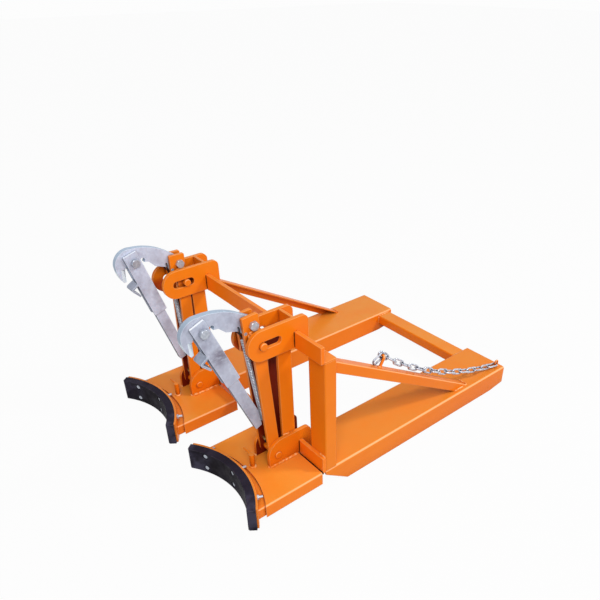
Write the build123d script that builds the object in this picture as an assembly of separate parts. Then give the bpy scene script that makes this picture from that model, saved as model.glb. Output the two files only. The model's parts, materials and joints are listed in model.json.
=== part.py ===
from build123d import *
from math import acos, asin, cos, degrees, radians, sin, sqrt
import os

# Forklift drum lifter with two beak heads, in millimetres.
# The drums stand on the -Y side, the truck's forks enter from +Y, and the floor is Z = 0.
# While the pieces are made, Y = 0 is the rear end of the fork pockets.

# Fork pockets
pocket_spacing = 766.0
pocket_width = 230.0
pocket_height = 98.0
pocket_length = 1102.0
pocket_wall = 8.0
pocket_bend = 10.0
pocket_nose_cut_length = 110.0
pocket_nose_lip = 19.0
pocket_heel_cut_length = 92.0
pocket_heel_cut_height = 13.0

# Rear crossbar
rear_bar_depth = 83.0
rear_bar_height = 50.0
rear_bar_wall = 5.0
rear_bar_bend = 8.0
rear_bar_setback = 12.0
rear_bar_drop = 12.0

# Posts and braces
post_width = 92.0
post_depth = 53.0
post_wall = 6.0
post_bend = 5.0
post_cap_thickness = 6.0
brace_flange = 46.0
brace_leg = 41.0
brace_wall = 6.0
brace_bend = 5.0
brace_inset = 24.0
brace_below_post_top = 26.0
brace_foot_setback = 253.0

# Flat crossbars
bar_height = 66.0
bar_thickness = 15.0
upper_bar_lap = 4.0
lower_bar_height = 72.0
lower_bar_drop = 4.0

# Heads and their feet
head_spacing = 600.0
foot_gap = 7.0
foot_width = 408.0
foot_height = 55.0
foot_bottom = 50.0
foot_wall = 6.0
foot_bend = 8.0
foot_depth = 203.5
nose_wall = 6.0
nose_bend = 6.0
nose_height = 43.0
nose_show = 27.0
nose_lap = 94.5

# Curved pads
pad_inner_radius = 342.0
pad_thickness = 32.0
pad_height = 96.0
pad_bottom = 44.0
pad_half_angle = 37.3
pad_bevel = 5.0
pad_plate_thickness = 7.0
pad_plate_half_angle = 36.0
pad_plate_raise = 1.0
pad_bolt_angle = 24.75
pad_bolt_row_spacing = 58.0
pad_bolt_diameter = 10.0
pad_bolt_head_width = 17.0
pad_bolt_head_height = 7.0
pad_bolt_recess = 3.0
pad_bolt_pocket = 26.0
pad_bolt_end = 14.0
pad_nut_height = 8.0
pad_hole_clearance = 0.5

# Lug plates, arm pivot and lever stop
side_gap = 75.0
lug_thickness = 15.0
lug_top = 214.0
lug_front = 40.0
lug_round = 64.0
lug_tail = 43.0
tail_round = 25.0
pivot_reach = 94.0
pivot_height = 150.0
pivot_pin_diameter = 28.0
pivot_pin_end = 6.0
pin_bevel = 1.5
stop_reach = 84.0
stop_diameter = 20.0
stop_height = 60.0
stop_rod_diameter = 9.0
stop_rod_length = 54.0

# Masts, guide plates and their slot
mast_width = 57.0
mast_thickness = 12.0
mast_lap = 33.0
guide_height = 116.0
guide_thickness = 15.0
guide_tail = 47.0
slot_travel = 60.7
slot_clearance = 1.5
guide_pin_diameter = 28.0
guide_pin_end = 10.0
spacer_thickness = 10.0

# Arms, in the arm's own frame: Y and Z from the pivot pin with the arm upright
arm_lean_right = -3.84
arm_lean_left = 1.15
arm_thickness = 12.0
arm_width = 48.0
arm_offset = -2.0
arm_top = 547.0
arm_side_play = 0.5
guide_pin_place = (4.0, 495.0)
head_plate_thickness = 13.0
head_plate_front = -43.0
head_plate_rear = 20.0
head_plate_bottom = 465.0
head_plate_top = 607.0
head_plate_round = 5.0
spring_peg_place = (-8.0, 43.0)
spring_peg_diameter = 12.0
running_clearance = 0.05

# Beak, in the arm's frame
beak_thickness = 22.0
beak_bolt_place = (-4.0, 569.0)
beak_bolt_diameter = 20.0
beak_heel_radius = 23.0
crown_rear = (-36.0, 620.0)
crown_middle = (-104.0, 656.0)
crown_front = (-183.0, 669.5)
nose_shoulder = (-233.0, 654.0)
nose_front = (-252.0, 618.0)
cheek_bulge = (-246.0, 577.0)
tip_front = (-228.0, 542.0)
tip_rear = (-217.0, 541.0)
tooth_top = (-214.0, 596.0)
throat = (-211.0, 605.0)
tooth_bevel = 18.0
tooth_edge = 3.0
lever_bolt_place = (-178.0, 615.0)
lever_boss_radius = 28.0
notch_top = (-146.0, 624.0)
notch_rear = (-139.0, 606.0)
step_top = (-122.0, 603.0)
step_bottom = (-98.0, 578.0)
step_round = 9.0
spring_hole_place = (-52.0, 575.0)
spring_hole_diameter = 8.0
stop_pin_diameter = 12.0
stop_pin_from_bolt = 24.0
stop_pin_clearance = 0.3
bolt_head_width = 30.0
bolt_head_height = 12.0
bolt_end = 6.0

# Clamp lever, in its own frame: Y across and Z along the lever from its bolt
lever_lean = 17.95
lever_bolt_diameter = 20.0
lever_side_play = 1.0
cheek_thickness = 8.0
cheek_front = -32.0
cheek_rear = 24.0
cheek_above_bolt = 40.0
cheek_below_bolt = 240.0
cheek_round = 4.0
bar_front = -27.0
bar_rear = 16.0
bar_above_end = 170.0
lever_length = 497.0
bar_spring_gap = 6.0
bar_end_round = 3.5

# Lower jaw, in the lever's frame
jaw_width = 50.0
jaw_thickness = 7.0
jaw_top = -79.0
jaw_reach = 36.0
jaw_drop = 9.0
jaw_lip_depth = 44.0
jaw_lip_return = 21.0
jaw_round = 8.5

# Tension spring, in the arm's frame
spring_diameter = 17.0
spring_wire = 4.0
spring_top = (-38.0, 520.0)
spring_bottom = (-11.0, 148.0)
spring_hook_width = 29.0
spring_hook_drop = 26.0

# Safety chain
link_wire = 8.0
link_pitch = 52.0
link_inner_width = 14.0
link_slack = 0.1
eye_slack = 0.3
link_side_gap = 2.0
link_rest_gap = 0.5
run_links = 16
chain_sag = 62.0
eye_wire = 8.0
eye_width = 18.0
eye_height = 30.0
eye_setback = 25.0
eye_inset = 31.0
eye_link_height = 12.0
hook_wire = 12.0
hook_height = 46.0
hook_edge = 19.0
hook_tip = 4.0

# Places worked out from the sizes above
pocket_centre = pocket_spacing / 2
chassis_side = pocket_centre + pocket_width / 2
chassis_front = -pocket_length
bar_face = chassis_front - bar_thickness
foot_rear = bar_face - foot_gap
foot_top = foot_bottom + foot_height
plate_inside = side_gap / 2
lug_outside = plate_inside + lug_thickness
guide_outside = plate_inside + guide_thickness
arm_outside = plate_inside - arm_side_play
arm_inside = arm_outside - arm_thickness
head_inside = arm_inside - head_plate_thickness
pivot_y = foot_rear - pivot_reach
guide_front_y = pivot_y + guide_pin_place[0] * cos(radians(arm_lean_right))
guide_front_y = guide_front_y + guide_pin_place[1] * sin(radians(arm_lean_right))
guide_low_z = guide_pin_place[1] * cos(radians(arm_lean_right))
guide_z = pivot_height + (guide_pin_place[1] + guide_low_z) / 2
guide_bottom = guide_z - guide_height / 2
guide_top = guide_z + guide_height / 2
upper_bar_bottom = guide_bottom - 1
upper_bar_top = upper_bar_bottom + bar_height
post_top = upper_bar_bottom + upper_bar_lap
post_rear = chassis_front + post_depth
lower_bar_bottom = pocket_height - lower_bar_drop
lower_bar_top = lower_bar_bottom + lower_bar_height
pad_outer_radius = pad_inner_radius + pad_thickness
plate_outer_radius = pad_outer_radius + pad_plate_thickness
foot_front_radius = plate_outer_radius + nose_show
pad_centre_y = foot_rear - foot_depth - foot_front_radius
pad_middle_z = pad_bottom + pad_height / 2
cheek_inside = beak_thickness / 2 + lever_side_play
cheek_outside = cheek_inside + cheek_thickness
brace_outside = chassis_side - brace_inset
brace_high = post_top - brace_below_post_top
brace_run = -brace_foot_setback - post_rear
brace_slope = (brace_high - pocket_height) / brace_run
link_step = link_pitch - link_slack
link_straight = link_pitch - link_inner_width
link_outer_width = link_inner_width + 2 * link_wire
link_eye_end = link_pitch / 2 - eye_wire / 2 - eye_slack
link_hook_end = link_pitch / 2 - hook_wire / 2 - link_slack
slack_side = hook_wire / 2 + link_wire / 2 + link_side_gap
run_side = slack_side + link_wire + link_side_gap


def side_plate(face, x_low, x_high):
    """A face drawn in Y and Z, made into a plate from x_low to x_high."""
    return extrude(Plane.YZ.offset(x_low) * face, x_high - x_low)


def side_pair(face, x_low, x_high):
    """Two like plates, one on each side of the head's middle plane."""
    plate = side_plate(face, x_low, x_high)
    return [plate, side_plate(face, -x_high, -x_low)]


def disc(place, diameter):
    """A round face centred on a place in Y and Z."""
    return Pos(*place) * Circle(diameter / 2)


def cross_pin(place, diameter, x_low, x_high):
    """A round bar across the head, at a place in Y and Z."""
    return side_plate(disc(place, diameter), x_low, x_high)


def bevelled_pin(place, diameter, reach):
    """A round bar across the head, with both ends bevelled."""
    pin = cross_pin(place, diameter, -reach, reach)
    return chamfer(pin.edges().filter_by(GeomType.CIRCLE), pin_bevel)


def hexagon(place, width):
    """A hexagon of the given width across its flats."""
    return Pos(*place) * RegularPolygon(width / 2, 6, major_radius=False)


def hex_prism(width, height):
    """A hexagonal head along Z, with the corners of its outer end turned off."""
    corner = width / sqrt(3)
    blank = extrude(Circle(corner), height)
    blank = chamfer(blank.edges().sort_by(Axis.Z)[-1], corner - width / 2)
    return extrude(hexagon((0, 0), width), height) & blank


def outline(*edges):
    """A face bounded by edges drawn in Y and Z."""
    return make_face(Curve() + list(edges))


def tangent_point(point, centre, radius, turn):
    """Where a line from a point touches a circle, on the side given by turn."""
    reach = Vector(*point) - Vector(*centre)
    heading = Axis((0, 0, 0), (1, 0, 0)).direction.get_signed_angle(reach, Vector(0, 0, 1))
    angle = radians(heading + turn * degrees(acos(radius / reach.length)))
    return (centre[0] + radius * cos(angle), centre[1] + radius * sin(angle))


def on_circle(centre, radius, angle):
    """The point of a circle at an angle in degrees."""
    return (centre[0] + radius * cos(radians(angle)), centre[1] + radius * sin(radians(angle)))


# Chassis


def fork_pocket():
    """An inverted folded channel with its lower corners cut away at both ends."""
    low = (Align.CENTER, Align.MAX, Align.MIN)
    outer = Box(pocket_width, pocket_length, pocket_height, align=low)
    outer = fillet(outer.edges().filter_by(Axis.Y).group_by(Axis.Z)[-1], pocket_bend)
    inner = Box(pocket_width - 2 * pocket_wall, pocket_length, pocket_height - pocket_wall, align=low)
    inside_bend = max(pocket_bend - pocket_wall, 1)
    inner = fillet(inner.edges().filter_by(Axis.Y).group_by(Axis.Z)[-1], inside_bend)
    nose_top = pocket_height - pocket_nose_lip
    nose_start = chassis_front + pocket_nose_cut_length
    nose = outline(Polyline((chassis_front, 0), (nose_start, 0), (chassis_front, nose_top), close=True))
    heel = outline(Polyline((0, 0), (-pocket_heel_cut_length, 0), (0, pocket_heel_cut_height), close=True))
    channel = outer - inner
    for cut in (nose, heel):
        channel -= side_plate(cut, -pocket_width / 2, pocket_width / 2)
    return channel


def rear_crossbar():
    """A box tube that butts on the inner walls of both pockets."""
    length = pocket_spacing - pocket_width
    middle = (-rear_bar_setback - rear_bar_depth / 2, pocket_height - rear_bar_drop - rear_bar_height / 2)
    outer = RectangleRounded(rear_bar_depth, rear_bar_height, rear_bar_bend)
    bore_depth = rear_bar_depth - 2 * rear_bar_wall
    bore_height = rear_bar_height - 2 * rear_bar_wall
    bore = RectangleRounded(bore_depth, bore_height, max(rear_bar_bend - rear_bar_wall, 1))
    return side_plate(Pos(*middle) * (outer - bore), -length / 2, length / 2)


def post_section():
    """The outside of a post, seen from above, on the right side."""
    middle = (chassis_side - post_width / 2, chassis_front + post_depth / 2)
    return Pos(*middle) * RectangleRounded(post_width, post_depth, post_bend)


def post():
    """An upright box tube, flush with the pocket's outer side and front end."""
    middle = (chassis_side - post_width / 2, chassis_front + post_depth / 2)
    bore_bend = max(post_bend - post_wall, 1)
    bore = Pos(*middle) * RectangleRounded(post_width - 2 * post_wall, post_depth - 2 * post_wall, bore_bend)
    height = post_top - post_cap_thickness - pocket_height
    return extrude(Pos(0, 0, pocket_height) * (post_section() - bore), height)


def post_cap():
    """The flat plate that closes a post."""
    return extrude(Pos(0, 0, post_top - post_cap_thickness) * post_section(), post_cap_thickness)


def brace():
    """A steel angle, sloping from the post's rear face down to the pocket's top."""
    steepness = sqrt(1 + brace_slope * brace_slope)

    def band(depth):
        drop = depth * steepness
        high = (post_rear, brace_high)
        low = (-brace_foot_setback, pocket_height)
        under = (-brace_foot_setback - drop / brace_slope, pocket_height)
        return outline(Polyline(high, low, under, (post_rear, brace_high - drop), close=True))

    leg = side_plate(band(brace_leg), brace_outside - brace_wall, brace_outside)
    flange = side_plate(band(brace_wall), brace_outside - brace_flange, brace_outside)
    angle = leg + flange
    middle = ((post_rear - brace_foot_setback) / 2, (brace_high + pocket_height) / 2)
    ridge = angle.edges().sort_by_distance((brace_outside, *middle))[0]
    return fillet(ridge, min(brace_bend, brace_wall - 0.5))


def crossbar(bottom, height):
    """A flat bar across the fronts of both posts."""
    low = (Align.CENTER, Align.MIN, Align.MIN)
    return Pos(0, bar_face, bottom) * Box(2 * chassis_side, bar_thickness, height, align=low)


# Fixed pieces of one head, with the head's middle at X = 0


def foot_channel():
    """A wide folded channel, open below and behind, with its front cut to an arc."""
    reach = foot_depth + foot_front_radius
    low = (Align.CENTER, Align.MAX, Align.MIN)
    place = Pos(0, foot_rear, foot_bottom)
    outer = Box(foot_width, reach, foot_height, align=low)
    outer = fillet(outer.edges().filter_by(Axis.Y).group_by(Axis.Z)[-1], foot_bend)
    inner = Box(foot_width - 2 * foot_wall, reach, foot_height - foot_wall, align=low)
    inner = fillet(inner.edges().filter_by(Axis.Y).group_by(Axis.Z)[-1], max(foot_bend - foot_wall, 1))
    front = Pos(0, pad_centre_y, 0) * Cylinder(foot_front_radius, 4 * foot_height + 4 * foot_bottom)
    return place * (outer - inner) - front


def foot_nose():
    """A channel nested in the foot, with its front against the pad's plate."""
    width = foot_width - 2 * foot_wall
    top = foot_top - foot_wall
    rear = pad_centre_y + foot_front_radius + nose_lap
    reach = plate_outer_radius + nose_show + nose_lap
    low = (Align.CENTER, Align.MAX, Align.MIN)
    outer = Box(width, reach, nose_height, align=low)
    outer = fillet(outer.edges().filter_by(Axis.Y).group_by(Axis.Z)[-1], nose_bend)
    inner = Box(width - 2 * nose_wall, reach, nose_height - nose_wall, align=low)
    inner = fillet(inner.edges().filter_by(Axis.Y).group_by(Axis.Z)[-1], max(nose_bend - nose_wall, 1))
    front = Pos(0, pad_centre_y, 0) * Cylinder(plate_outer_radius, 4 * foot_top)
    return Pos(0, rear, top - nose_height) * (outer - inner) - front


def ring_sector(inner, outer, half_angle):
    """Part of a flat ring about the pad's centre, open towards the drum."""
    start = 90 - half_angle
    end = 90 + half_angle
    centre = (0, pad_centre_y)
    first = Line(on_circle(centre, inner, start), on_circle(centre, outer, start))
    last = Line(on_circle(centre, outer, end), on_circle(centre, inner, end))
    far_arc = CenterArc(centre, outer, start, 2 * half_angle)
    near_arc = CenterArc(centre, inner, start, 2 * half_angle)
    return outline(first, far_arc, last, near_arc)


def pad_bolt_planes(radius):
    """Planes across the bolts, at a distance from the pad's axis."""
    planes = []
    for angle in (-pad_bolt_angle, 0, pad_bolt_angle):
        for row in (-0.5, 0.5):
            outward = Vector(sin(radians(angle)), cos(radians(angle)), 0)
            height = pad_middle_z + row * pad_bolt_row_spacing
            origin = Vector(0, pad_centre_y, height) + outward * radius
            planes.append(Plane(origin=origin, x_dir=(0, 0, 1), z_dir=outward))
    return planes


def rubber_pad():
    """A curved rubber block with a pocket for each bolt head."""
    sector = ring_sector(pad_inner_radius, pad_outer_radius, pad_half_angle)
    pad = extrude(Pos(0, 0, pad_bottom) * sector, pad_height)
    corners = pad.edges().filter_by(Axis.Z).sort_by(Axis.Y)[:2]
    pad = chamfer(corners, pad_bevel)
    seat = pad_inner_radius + pad_bolt_recess + pad_bolt_head_height
    hole = pad_bolt_diameter / 2 + pad_hole_clearance
    for plane in pad_bolt_planes(seat):
        pad -= plane * Cylinder(hole, 2 * pad_thickness)
        pad -= plane * Pos(0, 0, -pad_thickness) * Cylinder(pad_bolt_pocket / 2, 2 * pad_thickness)
    return pad


def pad_backing_plate():
    """The curved steel plate behind the rubber."""
    sector = ring_sector(pad_outer_radius, plate_outer_radius, pad_plate_half_angle)
    plate = extrude(Pos(0, 0, pad_bottom + pad_plate_raise) * sector, pad_height)
    hole = pad_bolt_diameter / 2 + pad_hole_clearance
    for plane in pad_bolt_planes(pad_outer_radius):
        plate -= plane * Cylinder(hole, 4 * pad_plate_thickness)
    return plate


def pad_bolts():
    """Hexagon bolts, with their heads sunk in the rubber."""
    seat = pad_inner_radius + pad_bolt_recess + pad_bolt_head_height
    shank = plate_outer_radius + pad_nut_height + pad_bolt_end - seat
    bolts = []
    for plane in pad_bolt_planes(seat):
        head = Rot(180, 0, 0) * hex_prism(pad_bolt_head_width, pad_bolt_head_height)
        rod = extrude(Circle(pad_bolt_diameter / 2), shank)
        bolts.append(plane * (head + rod))
    return bolts


def pad_nuts():
    """The nuts behind the backing plate."""
    nuts = []
    bore = Circle(pad_bolt_diameter / 2 + running_clearance)
    for plane in pad_bolt_planes(plate_outer_radius):
        nut = hex_prism(pad_bolt_head_width, pad_nut_height) - extrude(bore, pad_nut_height)
        nuts.append(plane * nut)
    return nuts


def lug_face():
    """A lug plate's outline: upright front, rounded top, and a notch over the lower crossbar."""
    front = pivot_y - lug_front
    rear = chassis_front + lug_tail
    round_y = front + lug_round
    round_z = lug_top - lug_round
    shape = outline(
        Line((front, foot_top), (front, round_z)),
        CenterArc((round_y, round_z), lug_round, 180, -90),
        Line((round_y, lug_top), (rear - tail_round, lug_top)),
        CenterArc((rear - tail_round, lug_top - tail_round), tail_round, 90, -90),
        Line((rear, lug_top - tail_round), (rear, foot_top)),
        Line((rear, foot_top), (front, foot_top)),
    )
    notch_middle = (bar_face + bar_thickness / 2, lower_bar_top)
    below = (Align.CENTER, Align.MAX)
    shape -= Pos(*notch_middle) * Rectangle(bar_thickness, bar_height + lug_top, align=below)
    return shape - disc((pivot_y, pivot_height), pivot_pin_diameter)


def guide_face():
    """A guide plate's outline: round front, long slot, and a notch over the upper crossbar."""
    rear = chassis_front + guide_tail
    radius = guide_height / 2
    shape = outline(
        CenterArc((guide_front_y, guide_z), radius, 90, 180),
        Line((guide_front_y, guide_bottom), (rear, guide_bottom)),
        Line((rear, guide_bottom), (rear, guide_top - tail_round)),
        CenterArc((rear - tail_round, guide_top - tail_round), tail_round, 0, 90),
        Line((rear - tail_round, guide_top), (guide_front_y, guide_top)),
    )
    notch_middle = (bar_face + bar_thickness / 2, upper_bar_top)
    below = (Align.CENTER, Align.MAX)
    shape -= Pos(*notch_middle) * Rectangle(bar_thickness, bar_height + guide_height, align=below)
    slot_height = guide_pin_diameter + 2 * slot_clearance
    slot_middle = (guide_front_y + slot_travel / 2, guide_z)
    return shape - Pos(*slot_middle) * SlotCenterToCenter(slot_travel, slot_height)


def mast_face():
    """A mast bar, from the foot up to the lower part of the guide plates."""
    height = guide_bottom + mast_lap - foot_top
    corner = (Align.MAX, Align.MIN)
    return Pos(foot_rear, foot_top) * Rectangle(mast_width, height, align=corner)


def guide_spacer():
    """The plate that ties the guide plates together above the crossbar."""
    low = (Align.CENTER, Align.MIN, Align.MIN)
    place = Pos(0, bar_face, upper_bar_top)
    return place * Box(side_gap, spacer_thickness, guide_top - upper_bar_top, align=low)


def lever_stop():
    """A round post on the foot, in front of the arm, with a level rod at its top."""
    middle = pivot_y - stop_reach
    post_piece = extrude(Pos(0, middle, foot_top) * Circle(stop_diameter / 2), stop_height)
    rod_height = foot_top + stop_height - stop_rod_diameter / 2
    return post_piece + cross_pin((middle, rod_height), stop_rod_diameter, -stop_rod_length, 0)


# Pieces of one arm, in the arm's own frame


def arm_face():
    """An arm bar with a round foot about the pivot and a square top."""
    half = arm_width / 2
    shape = outline(
        CenterArc((arm_offset, 0), half, 180, 180),
        Line((arm_offset + half, 0), (arm_offset + half, arm_top)),
        Line((arm_offset + half, arm_top), (arm_offset - half, arm_top)),
        Line((arm_offset - half, arm_top), (arm_offset - half, 0)),
    )
    shape -= disc((0, 0), pivot_pin_diameter + 2 * running_clearance)
    shape -= disc(guide_pin_place, guide_pin_diameter)
    return shape - disc(spring_peg_place, spring_peg_diameter)


def stop_pin_place():
    """Under the beak's belly, just clear of it."""
    bolt = Vector(*beak_bolt_place)
    low = Vector(*step_bottom)
    touch = Vector(*tangent_point(step_bottom, beak_bolt_place, beak_heel_radius, 1))
    along = (touch - low).normalized()
    down = (touch - bolt).normalized()
    middle = touch - along * stop_pin_from_bolt + down * (stop_pin_diameter / 2 + stop_pin_clearance)
    return (middle.X, middle.Y)


def head_plate_face():
    """A plate lapped inside the arm bar that carries the beak's bolt."""
    width = head_plate_rear - head_plate_front
    height = head_plate_top - head_plate_bottom
    corner = (Align.MIN, Align.MIN)
    shape = Pos(head_plate_front, head_plate_bottom) * Rectangle(width, height, align=corner)
    shape = fillet(shape.vertices().group_by(Axis.Y)[-1], head_plate_round)
    shape -= disc(guide_pin_place, guide_pin_diameter)
    shape -= disc(beak_bolt_place, beak_bolt_diameter)
    return shape - disc(stop_pin_place(), stop_pin_diameter)


def hex_head(place, seat, way):
    """A bolt's head or a nut on its seat, with its outer end towards +X or -X."""
    seat_plane = Plane(origin=(seat, *place), x_dir=(0, 1, 0), z_dir=(way, 0, 0))
    return seat_plane * hex_prism(bolt_head_width, bolt_head_height)


def hex_bolt(place, diameter, seat, far_seat):
    """A hexagon bolt along -X, from its head's seat to past the nut."""
    rod = cross_pin(place, diameter, far_seat - bolt_head_height - bolt_end, seat)
    return hex_head(place, seat, 1) + rod


def hex_nut(place, diameter, seat):
    """The nut on the far end of a bolt."""
    bore = cross_pin(place, diameter + 2 * running_clearance, seat - bolt_head_height, seat)
    return hex_head(place, seat, -1) - bore


def rod_along(points, corner_radius, wire):
    """A round rod bent along points."""
    path = FilletPolyline(*points, radius=corner_radius)
    start = Plane(origin=path @ 0, z_dir=path % 0)
    return sweep(start * Circle(wire / 2), path)


def tension_spring():
    """A close-wound spring with a square loop through the beak and an eye round the peg."""
    top = Vector(0, *spring_top)
    bottom = Vector(0, *spring_bottom)
    axis = (top - bottom).normalized()
    coil = Plane(origin=bottom, z_dir=axis) * Cylinder(
        spring_diameter / 2, (top - bottom).length, align=(Align.CENTER, Align.CENTER, Align.MIN)
    )
    hole = Vector(0, *spring_hole_place)
    half = spring_hook_width / 2
    side = Vector(half, 0, 0)
    low = hole - Vector(0, 0, spring_hook_drop)
    loop_points = [top - axis * spring_wire, low, low - side, hole - side, hole + side, low + side]
    loop = rod_along(loop_points, spring_wire * 0.75, spring_wire)
    peg = Vector(0, *spring_peg_place)
    ring_radius = spring_peg_diameter / 2 + spring_wire / 2 + stop_pin_clearance
    ring = Plane(origin=peg, z_dir=(1, 0, 0)) * Torus(ring_radius, spring_wire / 2)
    reach = bottom - peg
    stem_start = peg + reach.normalized() * ring_radius
    stem = Plane(origin=stem_start, z_dir=reach) * Cylinder(
        spring_wire / 2, reach.length - ring_radius, align=(Align.CENTER, Align.CENTER, Align.MIN)
    )
    return coil + loop + ring + stem


# Pieces of one beak, in the arm's frame


def beak_face():
    """The parrot beak: crown, hooked tip, mouth, lever boss and belly round the bolt."""
    heel_top = tangent_point(crown_rear, beak_bolt_place, beak_heel_radius, -1)
    heel_low = tangent_point(step_bottom, beak_bolt_place, beak_heel_radius, 1)
    heel_back = on_circle(beak_bolt_place, beak_heel_radius, -30)
    boss_front = on_circle(lever_bolt_place, lever_boss_radius, 200)
    boss_low = on_circle(lever_bolt_place, lever_boss_radius, 270)
    boss_rear = on_circle(lever_bolt_place, lever_boss_radius, 345)
    belly = FilletPolyline(notch_rear, step_top, step_bottom, heel_low, radius=step_round)
    shape = outline(
        Line(heel_top, crown_rear),
        ThreePointArc(crown_rear, crown_middle, crown_front),
        ThreePointArc(crown_front, nose_shoulder, nose_front),
        ThreePointArc(nose_front, cheek_bulge, tip_front),
        Line(tip_front, tip_rear),
        Line(tip_rear, tooth_top),
        ThreePointArc(tooth_top, throat, boss_front),
        ThreePointArc(boss_front, boss_low, boss_rear),
        ThreePointArc(boss_rear, notch_top, notch_rear),
        belly,
        ThreePointArc(heel_low, heel_back, heel_top),
    )
    shape -= disc(beak_bolt_place, beak_bolt_diameter + 2 * running_clearance)
    shape -= disc(lever_bolt_place, lever_bolt_diameter)
    return shape - disc(spring_hole_place, spring_hole_diameter)


def tooth_wedges():
    """The two cuts that thin the tooth to a narrow edge towards the drum."""
    low = Vector(0, *tip_rear)
    rise = Vector(0, *tooth_top) - low
    half = beak_thickness / 2
    section = Polyline(
        (tooth_edge / 2, 0),
        (half, -tooth_bevel),
        (2 * half, -tooth_bevel),
        (2 * half, tooth_bevel),
        (tooth_edge / 2, tooth_bevel),
        close=True,
    )
    start = Plane(origin=low - rise, x_dir=(1, 0, 0), z_dir=rise)
    wedge = extrude(start * make_face(section), 2 * rise.length)
    return [wedge, mirror(wedge, about=Plane.YZ)]


def beak():
    """The beak plate with its tooth thinned."""
    plate = side_plate(beak_face(), -beak_thickness / 2, beak_thickness / 2)
    for wedge in tooth_wedges():
        plate -= wedge
    return plate


# Pieces of one clamp lever, in the lever's own frame


def cheek_face():
    """A side plate of the lever, which straddles the beak."""
    width = cheek_rear - cheek_front
    height = cheek_above_bolt + cheek_below_bolt
    corner = (Align.MIN, Align.MIN)
    shape = Pos(cheek_front, -cheek_below_bolt) * Rectangle(width, height, align=corner)
    shape = fillet(shape.vertices(), cheek_round)
    return shape - disc((0, 0), lever_bolt_diameter + 2 * running_clearance)


def spring_strip():
    """The spring's line and the room it needs, in the lever's frame."""
    top = Vector(*spring_top)
    bottom = Vector(*spring_bottom)
    tilt = degrees(asin((bottom.X - top.X) / (top - bottom).length))
    middle = (top + bottom) / 2
    bolt = Vector(*lever_bolt_place)
    strip = Rectangle(spring_diameter + 2 * bar_spring_gap, 2 * (top - bottom).length)
    return Rot(0, 0, -lever_lean) * Pos(*(middle - bolt)) * Rot(0, 0, tilt) * strip


def lever_bar():
    """The flat handle bar between the cheeks, with its end tapered clear of the spring."""
    top = bar_above_end - cheek_below_bolt
    corner = (Align.MIN, Align.MIN)
    shape = Pos(bar_front, -lever_length) * Rectangle(bar_rear - bar_front, lever_length + top, align=corner)
    shape -= spring_strip()
    shape = fillet(shape.vertices().group_by(Axis.Y)[0], bar_end_round)
    return side_plate(shape, -cheek_inside, cheek_inside)


def lower_jaw():
    """A bent plate on the front of the lever that closes under the beak's tip."""
    crest = cheek_front - jaw_reach
    base = jaw_top - jaw_drop
    start = (cheek_front + jaw_reach, jaw_top + jaw_drop)
    lip_end = (crest + jaw_lip_return, base - jaw_lip_depth)
    spine = FilletPolyline(start, (crest, base), lip_end, radius=jaw_round)
    shape = make_face(offset(spine, amount=jaw_thickness, side=Side.LEFT))
    lever_side = (Align.MIN, Align.CENTER)
    shape -= Pos(cheek_front, jaw_top) * Rectangle(2 * jaw_reach, 4 * jaw_reach, align=lever_side)
    return side_plate(shape, -jaw_width / 2, jaw_width / 2)


# Safety chain on the right side


def chain_link():
    """One long link, lying in X and Y."""
    path = SlotCenterToCenter(link_straight, link_inner_width + link_wire).wire()
    start = Plane(origin=path @ 0, z_dir=path % 0)
    return sweep(start * Circle(link_wire / 2), path)


brace_rise = Vector(0, brace_slope, 1).normalized()
brace_uphill = Vector(0, -1, brace_slope).normalized()


def run_length():
    """The chain's length from the eye's front leg to the hook's arm."""
    return link_eye_end + link_hook_end + (run_links - 1) * link_step


def eye_leg():
    """Where the chain's rear end bears on the eye's front leg."""
    height = pocket_height + eye_link_height
    return Vector(chassis_side - eye_inset, -eye_setback - eye_width / 2, height)


def run_path(base):
    """The curve in which the chain hangs, to a hook that stands at a place on the brace."""
    hook = base + brace_rise * hook_height - Vector(run_side, 0, 0)
    return ThreePointArc(eye_leg(), (eye_leg() + hook) / 2 - Vector(0, 0, chain_sag), hook)


def hook_base():
    """Where the hook's rod stands on the brace, as far up as the hanging run reaches."""
    foot = Vector(brace_outside - brace_flange + hook_edge, -brace_foot_setback, pocket_height)
    climb = run_length()
    for step in range(6):
        climb = climb + run_length() - run_path(foot + brace_uphill * climb).length
    return foot + brace_uphill * climb


def hook_arm(side):
    """A place on the hook's level arm, at a distance inward from its rod."""
    return hook_base() + brace_rise * hook_height - Vector(side, 0, 0)


def link_at(middle, along, upright):
    """A link along a direction, standing on edge or lying flat."""
    sideways = along.cross(Vector(0, 0, 1)).normalized()
    normal = sideways if upright else sideways.cross(along)
    return Plane(origin=middle, x_dir=along, z_dir=normal) * chain_link()


def run_of_links():
    """The run that hangs between the eye and the hook, with every other link on edge."""
    path = run_path(hook_base())
    links = []
    for number in range(run_links):
        share = (link_eye_end + number * link_step) / path.length
        links.append(link_at(path @ share, path % share, number % 2 == 1))
    return links


def loose_link():
    """The chain's loose end, a link that leans from the hook's arm down to the brace."""
    drop = hook_height - link_outer_width / 2 - link_rest_gap
    lean = asin(drop / (link_hook_end + link_straight / 2))
    steep = brace_uphill * cos(lean) - brace_rise * sin(lean)
    return link_at(hook_arm(slack_side) + steep * link_hook_end, steep, True)


def chain_links():
    """Every link of the safety chain."""
    return run_of_links() + [loose_link()]


def chain_eye():
    """A narrow staple of round rod on the pocket's top."""
    front = eye_leg() - Vector(0, 0, eye_link_height)
    rear = front + Vector(0, eye_width, 0)
    rise = Vector(0, 0, eye_height)
    return rod_along([front, front + rise, rear + rise, rear], eye_wire, eye_wire)


def chain_hook():
    """A rod that stands on the brace and turns inward to a level arm."""
    tip = run_side + link_wire / 2 + hook_tip
    return rod_along([hook_base(), hook_arm(0), hook_arm(tip)], hook_wire * 0.75, hook_wire)


# The whole lifter


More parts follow.
